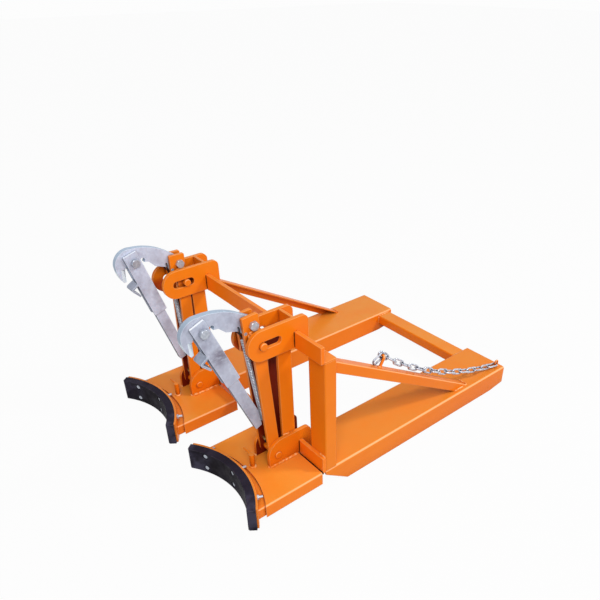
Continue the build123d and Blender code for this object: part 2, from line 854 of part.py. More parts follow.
def arm_place(x, lean):
    """The arm's frame, leaning back by an angle about its pivot."""
    return Pos(x, pivot_y, pivot_height) * Rot(-lean, 0, 0)


def chassis_pieces():
    """The welded frame, by name."""
    pieces = {
        "rear_crossbar": [rear_crossbar()],
        "upper_crossbar": [crossbar(upper_bar_bottom, bar_height)],
        "lower_crossbar": [crossbar(lower_bar_bottom, lower_bar_height)],
        "post_caps": [post_cap(), mirror(post_cap(), about=Plane.YZ)],
        "chain_eye": [chain_eye()],
        "chain_hook": [chain_hook()],
        "chain_links": chain_links(),
    }
    for side, sign in (("left", -1), ("right", 1)):
        pieces["fork_pocket_" + side] = [Pos(sign * pocket_centre, 0, 0) * fork_pocket()]
        for name, piece in (("post_", post()), ("brace_", brace())):
            pieces[name + side] = [piece if sign > 0 else mirror(piece, about=Plane.YZ)]
    return pieces


def fixed_head_pieces():
    """The pieces of one head that don't move, by name."""
    pivot = (pivot_y, pivot_height)
    pin_reach = lug_outside + pivot_pin_end
    return {
        "foot_channel": [foot_channel()],
        "foot_nose": [foot_nose()],
        "pad_backing_plate": [pad_backing_plate()],
        "rubber_pad": [rubber_pad()],
        "pad_bolts": pad_bolts(),
        "pad_nuts": pad_nuts(),
        "lug_plates": side_pair(lug_face(), plate_inside, lug_outside),
        "mast_bars": side_pair(mast_face(), plate_inside - mast_thickness, plate_inside),
        "guide_plates": side_pair(guide_face(), plate_inside, guide_outside),
        "guide_spacers": [guide_spacer()],
        "lever_stops": [lever_stop()],
        "arm_pivot_pins": [bevelled_pin(pivot, pivot_pin_diameter, pin_reach)],
    }


def moving_head_pieces():
    """The arm, beak and lever of one head, in the arm's frame, by name."""
    guide_reach = guide_outside + guide_pin_end
    lever_seat = cheek_outside + stop_pin_clearance
    lever = Pos(0, *lever_bolt_place) * Rot(lever_lean, 0, 0)
    pieces = {
        "arm_bars": side_pair(arm_face(), arm_inside, arm_outside),
        "arm_head_plates": side_pair(head_plate_face(), head_inside, arm_inside),
        "guide_pin": [bevelled_pin(guide_pin_place, guide_pin_diameter, guide_reach)],
        "spring_peg": [cross_pin(spring_peg_place, spring_peg_diameter, -arm_outside, arm_outside)],
        "beak_stop_pin": [cross_pin(stop_pin_place(), stop_pin_diameter, -arm_inside, arm_inside)],
        "beak_pivot_bolt": [hex_bolt(beak_bolt_place, beak_bolt_diameter, arm_inside, -arm_inside)],
        "beak_pivot_nut": [hex_nut(beak_bolt_place, beak_bolt_diameter, -arm_inside)],
        "tension_spring": [tension_spring()],
        "beak": [beak()],
        "lever_bolt": [hex_bolt(lever_bolt_place, lever_bolt_diameter, lever_seat, -lever_seat)],
        "lever_nut": [hex_nut(lever_bolt_place, lever_bolt_diameter, -lever_seat)],
    }
    lever_pieces = {
        "lever_cheeks": side_pair(cheek_face(), cheek_inside, cheek_outside),
        "lever_bar": [lever_bar()],
        "lower_jaw": [lower_jaw()],
    }
    for name, solids in lever_pieces.items():
        pieces[name] = [lever * solid for solid in solids]
    return pieces


def lifter():
    """Every piece of the lifter, by node name."""
    shared = ("pad_bolts", "pad_nuts", "guide_spacers", "lever_stops", "arm_pivot_pins")
    pieces = chassis_pieces()
    fixed = fixed_head_pieces()
    moving = moving_head_pieces()
    heads = (("left", -head_spacing / 2, arm_lean_left), ("right", head_spacing / 2, arm_lean_right))
    for side, x, lean in heads:
        for name, solids in fixed.items():
            node = name if name in shared else name + "_" + side
            placed = [Pos(x, 0, 0) * solid for solid in solids]
            pieces[node] = pieces.get(node, []) + placed
        for name, solids in moving.items():
            pieces[name + "_" + side] = [arm_place(x, lean) * solid for solid in solids]
    return pieces


def write_parts():
    """Moves the lifter's middle to the origin, on the floor, and writes each node."""
    os.makedirs("parts", exist_ok=True)
    pieces = lifter()
    groups = [group for solids in pieces.values() for group in solids]
    everything = Compound([solid for group in groups for solid in group.solids()])
    box = everything.bounding_box()
    middle = box.center()
    to_origin = Pos(-middle.X, -middle.Y, -box.min.Z)
    print("moved by", round(-middle.X, 4), round(-middle.Y, 4), round(-box.min.Z, 4), "size", box.size)
    for node, solids in pieces.items():
        placed = [to_origin * solid for group in solids for solid in group.solids()]
        export_step(Compound(placed), "parts/" + node + ".step")


write_parts()
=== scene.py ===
# Looks for the forklift drum lifter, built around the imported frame
import json
import math
import random

import bmesh
import bpy
from mathutils import Matrix, Vector

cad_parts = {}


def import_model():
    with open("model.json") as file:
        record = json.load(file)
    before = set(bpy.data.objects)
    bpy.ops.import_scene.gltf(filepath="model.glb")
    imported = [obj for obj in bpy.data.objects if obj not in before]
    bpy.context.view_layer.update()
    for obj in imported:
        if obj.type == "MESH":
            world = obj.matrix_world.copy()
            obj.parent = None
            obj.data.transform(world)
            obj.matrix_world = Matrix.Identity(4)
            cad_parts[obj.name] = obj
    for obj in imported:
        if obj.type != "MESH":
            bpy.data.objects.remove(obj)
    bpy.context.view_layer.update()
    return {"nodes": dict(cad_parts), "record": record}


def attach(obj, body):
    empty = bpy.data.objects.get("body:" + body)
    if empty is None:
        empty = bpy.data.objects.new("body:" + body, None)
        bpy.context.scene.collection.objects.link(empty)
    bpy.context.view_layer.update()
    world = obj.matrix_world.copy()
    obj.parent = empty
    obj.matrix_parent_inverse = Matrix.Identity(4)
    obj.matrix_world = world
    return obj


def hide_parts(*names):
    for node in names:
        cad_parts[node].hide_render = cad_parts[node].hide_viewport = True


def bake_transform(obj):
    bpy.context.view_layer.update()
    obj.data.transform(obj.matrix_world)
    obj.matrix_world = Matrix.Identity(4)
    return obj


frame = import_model()
nodes = frame["nodes"]

# Places of the frame in mm, with Y from the rear of the fork pockets
shift_y = 755.411
head_places = {"left": -300.0, "right": 300.0}
arm_leans = {"left": 1.15, "right": -3.84}
pivot_y = -1218.0
pivot_z = 150.0
pocket_inside = 268.0
pocket_top = 98.0
chassis_front = -1102.0
bar_face = -1117.0
post_inside = 406.0
post_rear = -1049.0
post_top = 589.396
foot_rear = -1124.0
foot_side = 203.0
foot_top = 105.0
lug_front = -1258.0
lug_high = 214.0
plate_inside = 37.5
plate_outside = 52.5
mast_inside = 25.5
mast_front = -1181.0
guide_bottom = 586.396
upper_bar_low = 585.396
upper_bar_high = 651.396
lower_bar_high = 166.0
brace_outside = 474.0
brace_inside = 428.0
brace_high = 563.396
brace_foot = -253.0
brace_under = -334.0
brace_slope = (brace_high - pocket_top) / (brace_foot - post_rear)
arm_top = 547.0
arm_weld_side = 25.0
lever_stop_reach = 84.0
lever_stop_radius = 10.0

# Ends of the weld seams in mm
post_seam_end = 489.0
bar_seam_end = 496.0
lower_bead_start = 464.0
post_bar_seam = (103.0, 164.0)
brace_post_seam = (520.0, 557.0)
rear_bar_front = -95.0
rear_bar_rear = -12.0
rear_bar_top = 86.0
rear_bar_seam = (40.0, 82.0)
lug_bar_seam = (102.0, 163.0)
guide_bar_seam = (588.0, 648.0)
mast_lug_seam = 32.0
foot_slit_height = 96.0
arm_head_seam = (-24.0, 18.0)
arm_front_seam = -26.0
arm_seam_low = 470.0

# Feet of the chain's eye and hook in mm
eye_side = 467.0
eye_legs = (-34.0, -16.0)
eye_radius = 4.0
hook_foot = (447.0, -790.0, 412.0)
hook_radius = 6.0

# Middles of the painted highlights on the beaks' teeth, and of the stain on the near lever, in metres
tooth_glint_spots = {"left": (-0.300, -0.672, 0.722), "right": (0.300, -0.722, 0.712)}
stain_spot = (0.320, -0.634, 0.646)

# Heights over which the shade between a head's plates fades in, in metres
guide_shade = (0.668, 0.632)
mast_shade = (0.600, 0.570)

# The photograph's camera, fitted on the frame's edges: angles in degrees, offset in metres
view_azimuth = 50.273
view_elevation = 33.332
view_roll = -0.294
view_offset = (-0.505154, -0.099935, 3.214705)
image_pixels = 600
focal_pixels = 593.958
centre_pixel = (331.967, 361.613)
sensor_width = 36.0


def at(x, y, z):
    """A place given in mm, as a vector in metres in the shared frame."""
    return Vector((x / 1000, (y + shift_y) / 1000, z / 1000))


def on_arm(side, x, y, z):
    """A place given in mm in one arm's own frame, as a vector in metres in the shared frame."""
    lean = math.radians(arm_leans[side])
    turned_y = y * math.cos(lean) + z * math.sin(lean)
    turned_z = -y * math.sin(lean) + z * math.cos(lean)
    return at(head_places[side] + x, pivot_y + turned_y, pivot_z + turned_z)


# Shader helpers


class Shader:
    """A material under construction."""

    def __init__(self, name):
        self.material = bpy.data.materials.new(name)
        self.material.use_nodes = True
        self.tree = self.material.node_tree
        self.surface = self.tree.nodes["Principled BSDF"]

    def add(self, kind, **sockets):
        """A node with its sockets set or linked."""
        node = self.tree.nodes.new(kind)
        for name, value in sockets.items():
            self.put(node, name.replace("_", " "), value)
        return node

    def put(self, node, name, value):
        """Set or link one input socket."""
        socket = node.inputs[name]
        if isinstance(value, bpy.types.NodeSocket):
            self.tree.links.new(value, socket)
        else:
            socket.default_value = value

    def place(self):
        """The object's own coordinates."""
        return self.add("ShaderNodeTexCoord").outputs["Object"]

    def noise(self, scale, detail, roughness=0.5, vector=None):
        """Fractal noise from 0 to 1."""
        where = self.place() if vector is None else vector
        node = self.add("ShaderNodeTexNoise", Vector=where, Scale=scale, Detail=detail, Roughness=roughness)
        return node.outputs["Fac"]

    def stretched(self, x, y, z):
        """The object's coordinates, stretched by axis."""
        node = self.add("ShaderNodeMapping", Vector=self.place(), Scale=(x, y, z))
        return node.outputs["Vector"]

    def ramp(self, factor, low, high, start=0.0, end=1.0):
        """A smooth remap of a factor."""
        node = self.add("ShaderNodeMapRange", Value=factor)
        node.interpolation_type = "SMOOTHSTEP"
        self.put(node, "From Min", low)
        self.put(node, "From Max", high)
        self.put(node, "To Min", start)
        self.put(node, "To Max", end)
        return node.outputs["Result"]

    def math(self, operation, first, second):
        """A number from two numbers, such as their sum or product."""
        node = self.tree.nodes.new("ShaderNodeMath")
        node.operation = operation
        self.put(node, 0, first)
        self.put(node, 1, second)
        return node.outputs[0]

    def mix(self, factor, first, second):
        """A mix of two colours."""
        node = self.tree.nodes.new("ShaderNodeMix")
        node.data_type = "RGBA"
        self.put(node, 0, factor)
        self.put(node, 6, first)
        self.put(node, 7, second)
        return node.outputs[2]

    def tint(self, base, mask, strength, colour):
        """A colour laid over a base, where a mask is high, at a strength."""
        return self.mix(self.math("MULTIPLY", mask, strength), base, colour)

    def measure(self, operation, first, second):
        """A number from two vectors."""
        node = self.tree.nodes.new("ShaderNodeVectorMath")
        node.operation = operation
        self.put(node, 0, first)
        self.put(node, 1, second)
        return node.outputs["Value"]

    def parts(self, vector):
        """The X, Y and Z of a vector."""
        return self.add("ShaderNodeSeparateXYZ", Vector=vector).outputs

    def facing(self):
        """The X, Y and Z of the surface's normal."""
        return self.parts(self.add("ShaderNodeTexCoord").outputs["Normal"])

    def edges(self, radius):
        """A mask that is high along the outer edges and corners."""
        plain = self.tree.nodes.new("ShaderNodeNewGeometry").outputs["Normal"]
        return self.ramp(self.measure("DOT_PRODUCT", self.rounded(radius), plain), 0.995, 0.86)

    def folds(self):
        """A mask that is high along the folded edges of the pockets and feet."""
        normal = self.facing()
        side = self.math("ABSOLUTE", normal["X"], 0.0)
        return self.ramp(self.math("MULTIPLY", side, normal["Z"]), 0.20, 0.46)

    def level(self, low=0.90, high=0.99):
        """A mask that is high on faces that look up."""
        return self.ramp(self.facing()["Z"], low, high)

    def near(self, spot, inner, outer):
        """A mask that is high within a distance of one spot."""
        return self.ramp(self.measure("DISTANCE", self.place(), spot), outer, inner)

    def rim(self, flat, turned):
        """A mask that is high on the rims and bevels of plates that face sideways."""
        return self.ramp(self.math("ABSOLUTE", self.facing()["X"], 0.0), flat, turned)

    def between_plates(self, high, low):
        """A mask on faces that look at a head's middle plane, fading in from one height down to another."""
        place = self.parts(self.place())
        side = self.math("SIGN", place["X"], 0.0)
        middle = self.math("MULTIPLY", side, head_places["right"] / 1000)
        inward = self.math("MULTIPLY", self.facing()["X"], self.math("SUBTRACT", place["X"], middle))
        off_middle = self.ramp(inward, -0.004, -0.010)
        within_head = self.ramp(inward, -0.060, -0.054)
        mask = self.math("MULTIPLY", off_middle, within_head)
        return self.math("MULTIPLY", mask, self.ramp(place["Z"], high, low))

    def recess(self, distance, low, high):
        """A mask that is high deep inside narrow gaps."""
        node = self.add("ShaderNodeAmbientOcclusion", Distance=distance)
        node.samples = 6
        return self.ramp(node.outputs["AO"], high, low)

    def bump(self, height, distance, strength=1.0, normal=None):
        """A bumped normal from a height."""
        node = self.add("ShaderNodeBump", Height=height, Distance=distance, Strength=strength)
        if normal is not None:
            self.put(node, "Normal", normal)
        return node.outputs["Normal"]

    def rounded(self, radius):
        """A normal that rounds the edges off."""
        bevel = self.tree.nodes.new("ShaderNodeBevel")
        bevel.samples = 6
        self.put(bevel, "Radius", radius)
        return bevel.outputs["Normal"]

    def finish(self, **sockets):
        """Set or link the shader's own sockets."""
        for name, value in sockets.items():
            self.put(self.surface, name.replace("_", " "), value)
        return self.material


# Materials


def orange_paint(name, lift, reach, low, high, depth, dust_and_sheen_tone=(0.79, 0.270, 0.036, 1)):
    """Satin orange enamel with slight orange peel and drift in tone, paler on tops for dust and a painted
    sheen, with painted highlights on edges and folds and painted shade between plates and in recesses.
    """
    s = Shader(name)
    drift = s.ramp(s.noise(2.6, 2.0), 0.3, 0.7)
    cloud = s.ramp(s.noise(11.0, 4.0, 0.6), 0.35, 0.75)
    base = s.mix(drift, (0.85 * lift, 0.190, 0.0045, 1), (0.88 * lift, 0.220, 0.0070, 1))
    base = s.tint(base, cloud, 0.28, (0.83, 0.168, 0.0040, 1))
    specks = s.ramp(s.noise(420.0, 2.0), 0.70, 0.78)
    base = s.tint(base, specks, 0.20, (0.62, 0.105, 0.004, 1))
    # Paler on faces that look up: dust, and a painted sheen
    dust = s.math("MULTIPLY", s.level(), s.ramp(s.noise(7.0, 5.0, 0.62), 0.2, 0.8, 0.35, 0.75))
    base = s.mix(dust, base, dust_and_sheen_tone)
    # Painted highlights along the edges and on the folds
    base = s.tint(base, s.edges(0.0034), 0.70, (0.97, 0.46, 0.17, 1))
    base = s.tint(base, s.folds(), 0.75, (0.97, 0.52, 0.24, 1))
    # Painted shade on faces that look at a head's middle plane
    base = s.tint(base, s.between_plates(*guide_shade), 0.85, (0.45, 0.045, 0.008, 1))
    base = s.tint(base, s.between_plates(*mast_shade), 0.85, (0.14, 0.008, 0.003, 1))
    # Painted shade deep in recesses and narrow gaps
    base = s.tint(base, s.recess(reach, low, high), depth, (0.15, 0.007, 0.002, 1))
    rough = s.ramp(s.noise(38.0, 3.0), 0.25, 0.75, 0.28, 0.38)
    normal = s.rounded(0.0030)
    normal = s.bump(s.noise(620.0, 1.0), 0.0004, 0.10, normal)
    normal = s.bump(s.noise(48.0, 2.0), 0.0016, 0.10, normal)
    return s.finish(Base_Color=base, Roughness=rough, Normal=normal, Specular_IOR_Level=0.16)


def weld_paint():
    """The same enamel over a rippled weld bead, paler in patches as a painted highlight."""
    s = Shader("weld_paint")
    # Paler in patches: a painted highlight on the bead
    drift = s.ramp(s.noise(95.0, 2.0), 0.40, 0.66)
    base = s.mix(drift, (0.82, 0.225, 0.016, 1), (0.97, 0.50, 0.20, 1))
    grain = s.ramp(s.noise(500.0, 2.0), 0.62, 0.80)
    base = s.tint(base, grain, 0.25, (0.62, 0.13, 0.01, 1))
    normal = s.bump(s.noise(420.0, 2.0), 0.0004, 0.35)
    rough = s.ramp(s.noise(90.0, 2.0), 0.3, 0.7, 0.30, 0.42)
    return s.finish(Base_Color=base, Roughness=rough, Normal=normal, Specular_IOR_Level=0.30)


def galvanised_steel(name, dark, pale, blot, mouth=None, stain=None, top_highlight=0.0):
    """Dull hot-dip zinc: bluish grey, mottled in flakes, with stains and faint runs, painted highlights on
    edges and tops, and painted shade in crevices and under rims.
    """
    s = Shader(name)
    warp = s.add("ShaderNodeTexNoise", Vector=s.place(), Scale=30.0, Detail=3.0)
    warped = s.add("ShaderNodeVectorMath")
    warped.operation = "MULTIPLY_ADD"
    s.put(warped, 0, warp.outputs["Color"])
    s.put(warped, 1, (0.02, 0.02, 0.02))
    s.put(warped, 2, s.place())
    flakes = s.add("ShaderNodeTexVoronoi", Vector=warped.outputs["Vector"], Scale=95.0)
    tone = s.add("ShaderNodeSeparateColor", Color=flakes.outputs["Color"]).outputs["Red"]
    stains = s.ramp(s.noise(20.0, 5.0, 0.62), 0.36, 0.72)
    runs = s.ramp(s.noise(1.0, 4.0, 0.6, s.stretched(60.0, 60.0, 9.0)), 0.42, 0.70)
    base = s.mix(tone, dark, pale)
    base = s.tint(base, stains, 0.50, (0.330, 0.335, 0.425, 1))
    base = s.tint(base, runs, 0.26, (0.600, 0.630, 0.720, 1))
    blots = s.ramp(s.noise(9.0, 4.0, 0.6), 0.50, 0.72)
    base = s.tint(base, blots, blot, (0.225, 0.215, 0.290, 1))
    if stain:
        streaks = s.ramp(s.noise(1.0, 4.0, 0.65, s.stretched(60.0, 40.0, 75.0)), 0.34, 0.62, 0.25, 1.0)
        spread = s.math("MULTIPLY", s.near(stain, 0.006, 0.056), streaks)
        base = s.tint(base, spread, 0.92, (0.185, 0.165, 0.220, 1))
    # Painted shade in crevices
    base = s.tint(base, s.recess(0.014, 0.40, 0.80), 0.60, (0.10, 0.10, 0.15, 1))
    # Painted highlight along the edges
    base = s.tint(base, s.edges(0.0030), 0.80, (0.78, 0.87, 0.97, 1))
    if mouth:
        # Painted shade on the beak's rims
        base = s.tint(base, s.rim(0.90, 0.60), 0.60, (0.34, 0.47, 0.60, 1))
        # Painted highlight on the tooth's bevels near the spot
        tooth_glint = s.math("MULTIPLY", s.near(mouth, 0.030, 0.042), s.rim(0.985, 0.94))
        base = s.mix(tooth_glint, base, (0.82, 0.93, 1.0, 1))
    if top_highlight:
        # Painted highlight on faces that look up
        base = s.tint(base, s.level(0.30, 0.55), top_highlight, (0.96, 0.98, 1.0, 1))
        # Painted shade on rims that look down
        under = s.math("MULTIPLY", s.rim(0.90, 0.60), s.level(0.10, -0.25))
        base = s.tint(base, under, 0.80, (0.105, 0.110, 0.150, 1))
    rough = s.ramp(tone, 0.0, 1.0, 0.42, 0.58)
    normal = s.rounded(0.0014)
    normal = s.bump(s.noise(130.0, 3.0), 0.0010, 0.16, normal)
    normal = s.bump(tone, 0.0004, 0.12, normal)
    return s.finish(Base_Color=base, Roughness=rough, Normal=normal, Metallic=0.22, Specular_IOR_Level=0.35)


def zinc_steel():
    """Bright zinc plate on bolts, nuts and pins."""
    s = Shader("zinc_steel")
    cloud = s.ramp(s.noise(120.0, 2.0), 0.3, 0.7)
    base = s.mix(cloud, (0.37, 0.40, 0.46, 1), (0.49, 0.52, 0.58, 1))
    dirt = s.ramp(s.noise(260.0, 3.0, 0.6), 0.60, 0.80)
    base = s.tint(base, dirt, 0.30, (0.22, 0.23, 0.30, 1))
    # Painted highlight along the edges
    base = s.tint(base, s.edges(0.0010), 0.6, (0.82, 0.88, 0.95, 1))
    rough = s.ramp(s.noise(240.0, 2.0), 0.3, 0.7, 0.30, 0.44)
    normal = s.bump(s.noise(700.0, 2.0), 0.0003, 0.08, s.rounded(0.0008))
    return s.finish(Base_Color=base, Roughness=rough, Normal=normal, Metallic=0.45)


def chain_steel():
    """Zinc on the chain's links, dull, with dark dirt in patches and painted shade where the links meet."""
    s = Shader("chain_steel")
    cloud = s.ramp(s.noise(90.0, 3.0), 0.3, 0.7)
    base = s.mix(cloud, (0.46, 0.49, 0.57, 1), (0.72, 0.75, 0.82, 1))
    dirt = s.ramp(s.noise(85.0, 4.0, 0.65), 0.52, 0.62)
    base = s.tint(base, dirt, 0.75, (0.085, 0.085, 0.14, 1))
    # Painted shade where the links meet
    base = s.mix(s.recess(0.016, 0.35, 0.85), base, (0.035, 0.035, 0.060, 1))
    rough = s.ramp(s.noise(240.0, 2.0), 0.3, 0.7, 0.16, 0.30)
    normal = s.bump(s.noise(500.0, 2.0), 0.0003, 0.12)
    return s.finish(Base_Color=base, Roughness=rough, Normal=normal, Metallic=0.40)


def yellow_zinc():
    """Yellow passivated zinc on the spring pegs."""
    s = Shader("yellow_zinc")
    cloud = s.ramp(s.noise(200.0, 3.0), 0.3, 0.7)
    base = s.mix(cloud, (0.42, 0.26, 0.07, 1), (0.54, 0.37, 0.13, 1))
    rough = s.ramp(s.noise(300.0, 2.0), 0.3, 0.7, 0.26, 0.40)
    return s.finish(Base_Color=base, Roughness=rough, Normal=s.rounded(0.0006), Metallic=0.85)


def spring_steel():
    """Dull phosphate-grey wire, with painted shade between the coils."""
    s = Shader("spring_steel")
    cloud = s.ramp(s.noise(90.0, 3.0), 0.3, 0.7)
    base = s.mix(cloud, (0.56, 0.60, 0.68, 1), (0.76, 0.80, 0.88, 1))
    # Painted shade between the coils
    base = s.mix(s.recess(0.005, 0.30, 0.85), base, (0.020, 0.020, 0.028, 1))
    rough = s.ramp(s.noise(400.0, 2.0), 0.3, 0.7, 0.28, 0.44)
    normal = s.bump(s.noise(900.0, 2.0), 0.0002, 0.10)
    return s.finish(Base_Color=base, Roughness=rough, Normal=normal, Metallic=0.60)


def seam_shade():
    """Near-black painted shade for the open seams of the frame."""
    s = Shader("seam_shade")
    cloud = s.ramp(s.noise(70.0, 4.0, 0.6), 0.35, 0.70)
    base = s.mix(cloud, (0.010, 0.0035, 0.0030, 1), (0.040, 0.0100, 0.0060, 1))
    normal = s.bump(s.noise(600.0, 3.0), 0.0005, 0.30)
    rough = s.ramp(s.noise(200.0, 2.0), 0.3, 0.7, 0.70, 0.90)
    return s.finish(Base_Color=base, Roughness=rough, Normal=normal, Specular_IOR_Level=0.05)


def black_oxide():
    """Blackened wire on the springs' end loops, a little worn."""
    s = Shader("black_oxide")
    wear = s.ramp(s.noise(160.0, 4.0, 0.6), 0.55, 0.78)
    base = s.mix(s.math("MULTIPLY", wear, 0.5), (0.014, 0.014, 0.018, 1), (0.10, 0.10, 0.12, 1))
    rough = s.ramp(s.noise(300.0, 2.0), 0.3, 0.7, 0.34, 0.50)
    return s.finish(Base_Color=base, Roughness=rough, Metallic=0.30, Specular_IOR_Level=0.25)


def black_rubber():
    """Dense black rubber with a moulded skin, dusty patches, a painted sheen on the tops and scuffed edges.
    """
    s = Shader("black_rubber")
    cloud = s.ramp(s.noise(16.0, 5.0, 0.62), 0.36, 0.74)
    base = s.mix(cloud, (0.0042, 0.0026, 0.0044, 1), (0.0100, 0.0070, 0.0115, 1))
    dust = s.ramp(s.noise(55.0, 5.0, 0.68), 0.58, 0.80)
    base = s.tint(base, dust, 0.30, (0.050, 0.045, 0.062, 1))
    # Painted sheen on faces that look up
    base = s.tint(base, s.level(), 0.55, (0.026, 0.022, 0.038, 1))
    across = s.math("ABSOLUTE", s.parts(s.place())["X"], 0.0)
    end = s.math("ABSOLUTE", s.math("SUBTRACT", across, head_places["right"] / 1000), 0.0)
    worn = s.ramp(s.noise(14.0, 3.0, 0.55), 0.40, 0.62, 0.15, 1.0)
    worn = s.math("MULTIPLY", worn, s.ramp(end, 0.10, 0.19, 0.12, 0.80))
    base = s.mix(worn, base, (0.062, 0.057, 0.092, 1))
    scuff = s.math("MULTIPLY", s.edges(0.0040), s.ramp(s.noise(70.0, 3.0), 0.35, 0.65))
    base = s.tint(base, scuff, 0.55, (0.12, 0.11, 0.135, 1))
    rough = s.ramp(s.noise(34.0, 4.0), 0.3, 0.7, 0.48, 0.68)
    normal = s.rounded(0.0025)
    normal = s.bump(s.noise(520.0, 2.0), 0.0005, 0.22, normal)
    normal = s.bump(s.noise(42.0, 3.0), 0.0020, 0.16, normal)
    return s.finish(Base_Color=base, Roughness=rough, Normal=normal, Specular_IOR_Level=0.05)


near_dark = (0.430, 0.465, 0.575, 1)
near_pale = (0.52, 0.56, 0.675, 1)
far_dark = (0.560, 0.615, 0.760, 1)
far_pale = (0.650, 0.705, 0.855, 1)
jaw_dark = (0.285, 0.320, 0.410, 1)
jaw_pale = (0.370, 0.405, 0.500, 1)
pale_dust_and_sheen = (0.83, 0.335, 0.052, 1)
looks = {
    "orange_paint": orange_paint("orange_paint", lift=1.0, reach=0.12, low=0.18, high=0.54, depth=0.85),
    "galvanised_steel": galvanised_steel("galvanised_steel", near_dark, near_pale, blot=0.60, top_highlight=0.60),
    "zinc_steel": zinc_steel(),
    "black_rubber": black_rubber(),
    "spring_steel": spring_steel(),
}
weld_look = weld_paint()
loop_look = black_oxide()
seam_shade_look = seam_shade()
peg_zinc = yellow_zinc()
# Lit copies of the paint, brighter and with less painted shade, for the crossbars, and for the feet, the
# rear crossbar and the left pocket
lit_bar_paint = orange_paint("lit_bar_paint", lift=1.10, reach=0.12, low=0.18, high=0.54, depth=0.30)
dust_and_sheen_paint = orange_paint(
    "dust_and_sheen_paint", lift=1.05, reach=0.12, low=0.18, high=0.54, depth=0.30, dust_and_sheen_tone=pale_dust_and_sheen)
# Paint with its painted shade held to the narrowest gaps, for the guide plates and spacers
guide_paint = orange_paint("guide_paint", lift=1.0, reach=0.03, low=0.28, high=0.70, depth=0.90)
far_zinc = galvanised_steel("pale_zinc", far_dark, far_pale, blot=0.15, top_highlight=0.70)
jaw_zinc = galvanised_steel("jaw_zinc", jaw_dark, jaw_pale, blot=0.50)
own_looks = {
    "chain_links": chain_steel(),
    "beak_left": galvanised_steel(
        "beak_zinc_left", far_dark, far_pale, blot=0.15, mouth=tooth_glint_spots["left"]),
    "beak_right": galvanised_steel(
        "beak_zinc_right", near_dark, near_pale, blot=0.60, mouth=tooth_glint_spots["right"]),
    "lever_cheeks_right": galvanised_steel(
        "stained_zinc", near_dark, near_pale, blot=0.60, stain=stain_spot, top_highlight=0.95),
}
shared_looks = [
    (peg_zinc, ("spring_peg_left", "spring_peg_right")),
    (far_zinc, ("lever_cheeks_left", "lever_bar_left")),
    (jaw_zinc, ("lower_jaw_left", "lower_jaw_right")),
    (lit_bar_paint, ("upper_crossbar", "lower_crossbar")),
    (dust_and_sheen_paint, ("foot_channel_left", "foot_channel_right", "rear_crossbar", "fork_pocket_left")),
    (guide_paint, ("guide_plates_left", "guide_plates_right", "guide_spacers")),
]
for look, names in shared_looks:
    for name in names:
        own_looks[name] = look
for part in frame["record"]["subparts"]:
    look = own_looks.get(part["node"], looks[part["material_slot"]])
    nodes[part["node"]].material_slots[0].material = look


# Mesh helpers


def mesh_object(name, points, faces, look):
    """A mesh piece from points and faces."""
    mesh = bpy.data.meshes.new(name)
    mesh.from_pydata([tuple(p) for p in points], [], faces)
    mesh.validate()
    shaped = bmesh.new()
    shaped.from_mesh(mesh)
    bmesh.ops.recalc_face_normals(shaped, faces=shaped.faces)
    shaped.to_mesh(mesh)
    shaped.free()
    for face in mesh.polygons:
        face.use_smooth = True
    piece = bpy.data.objects.new(name, mesh)
    bpy.context.scene.collection.objects.link(piece)
    mesh.materials.append(look)
    return piece


def joined(name, chunks, look):
    """One piece from several chunks of points and faces."""
    points = []
    faces = []
    for chunk_points, chunk_faces in chunks:
        offset = len(points)
        points += chunk_points
        faces += [tuple(i + offset for i in face) for face in chunk_faces]
    return mesh_object(name, points, faces, look)


def ring_faces(rings, sides):
    """Faces between rings of points, with both ends closed."""
    faces = []
    for ring in range(rings - 1):
        for side in range(sides):
            after = (side + 1) % sides
            a = ring * sides + side
            b = ring * sides + after
            faces.append((a, b, b + sides, a + sides))
    faces.append(tuple(reversed(range(sides))))
    faces.append(tuple(range((rings - 1) * sides, rings * sides)))
    return faces


def tube(path, radius, sides):
    """A round wire along a path, as points and faces."""
    points = []
    normal = None
    for index, here in enumerate(path):
        before = path[max(index - 1, 0)]
        after = path[min(index + 1, len(path) - 1)]
        along = (after - before).normalized()
        if normal is None:
            normal = along.orthogonal()
        normal = (normal - along * normal.dot(along)).normalized()
        across = along.cross(normal)
        for side in range(sides):
            angle = 2 * math.pi * side / sides
            points.append(here + (normal * math.cos(angle) + across * math.sin(angle)) * radius)
    return points, ring_faces(len(path), sides)


def bent(corners, radius, steps):
    """Points of a path whose corners are rounded."""
    path = [corners[0]]
    for before, corner, after in zip(corners, corners[1:], corners[2:]):
        way_in = (corner - before).normalized()
        way_out = (after - corner).normalized()
        room = min(radius, (corner - before).length * 0.5, (after - corner).length * 0.5)
        start = corner - way_in * room
        end = corner + way_out * room
        for step in range(steps + 1):
            t = step / steps
            path.append(start * (1 - t) ** 2 + corner * 2 * t * (1 - t) + end * t ** 2)
    path.append(corners[-1])
    return path


# Weld beads


bead_random = random.Random(11)


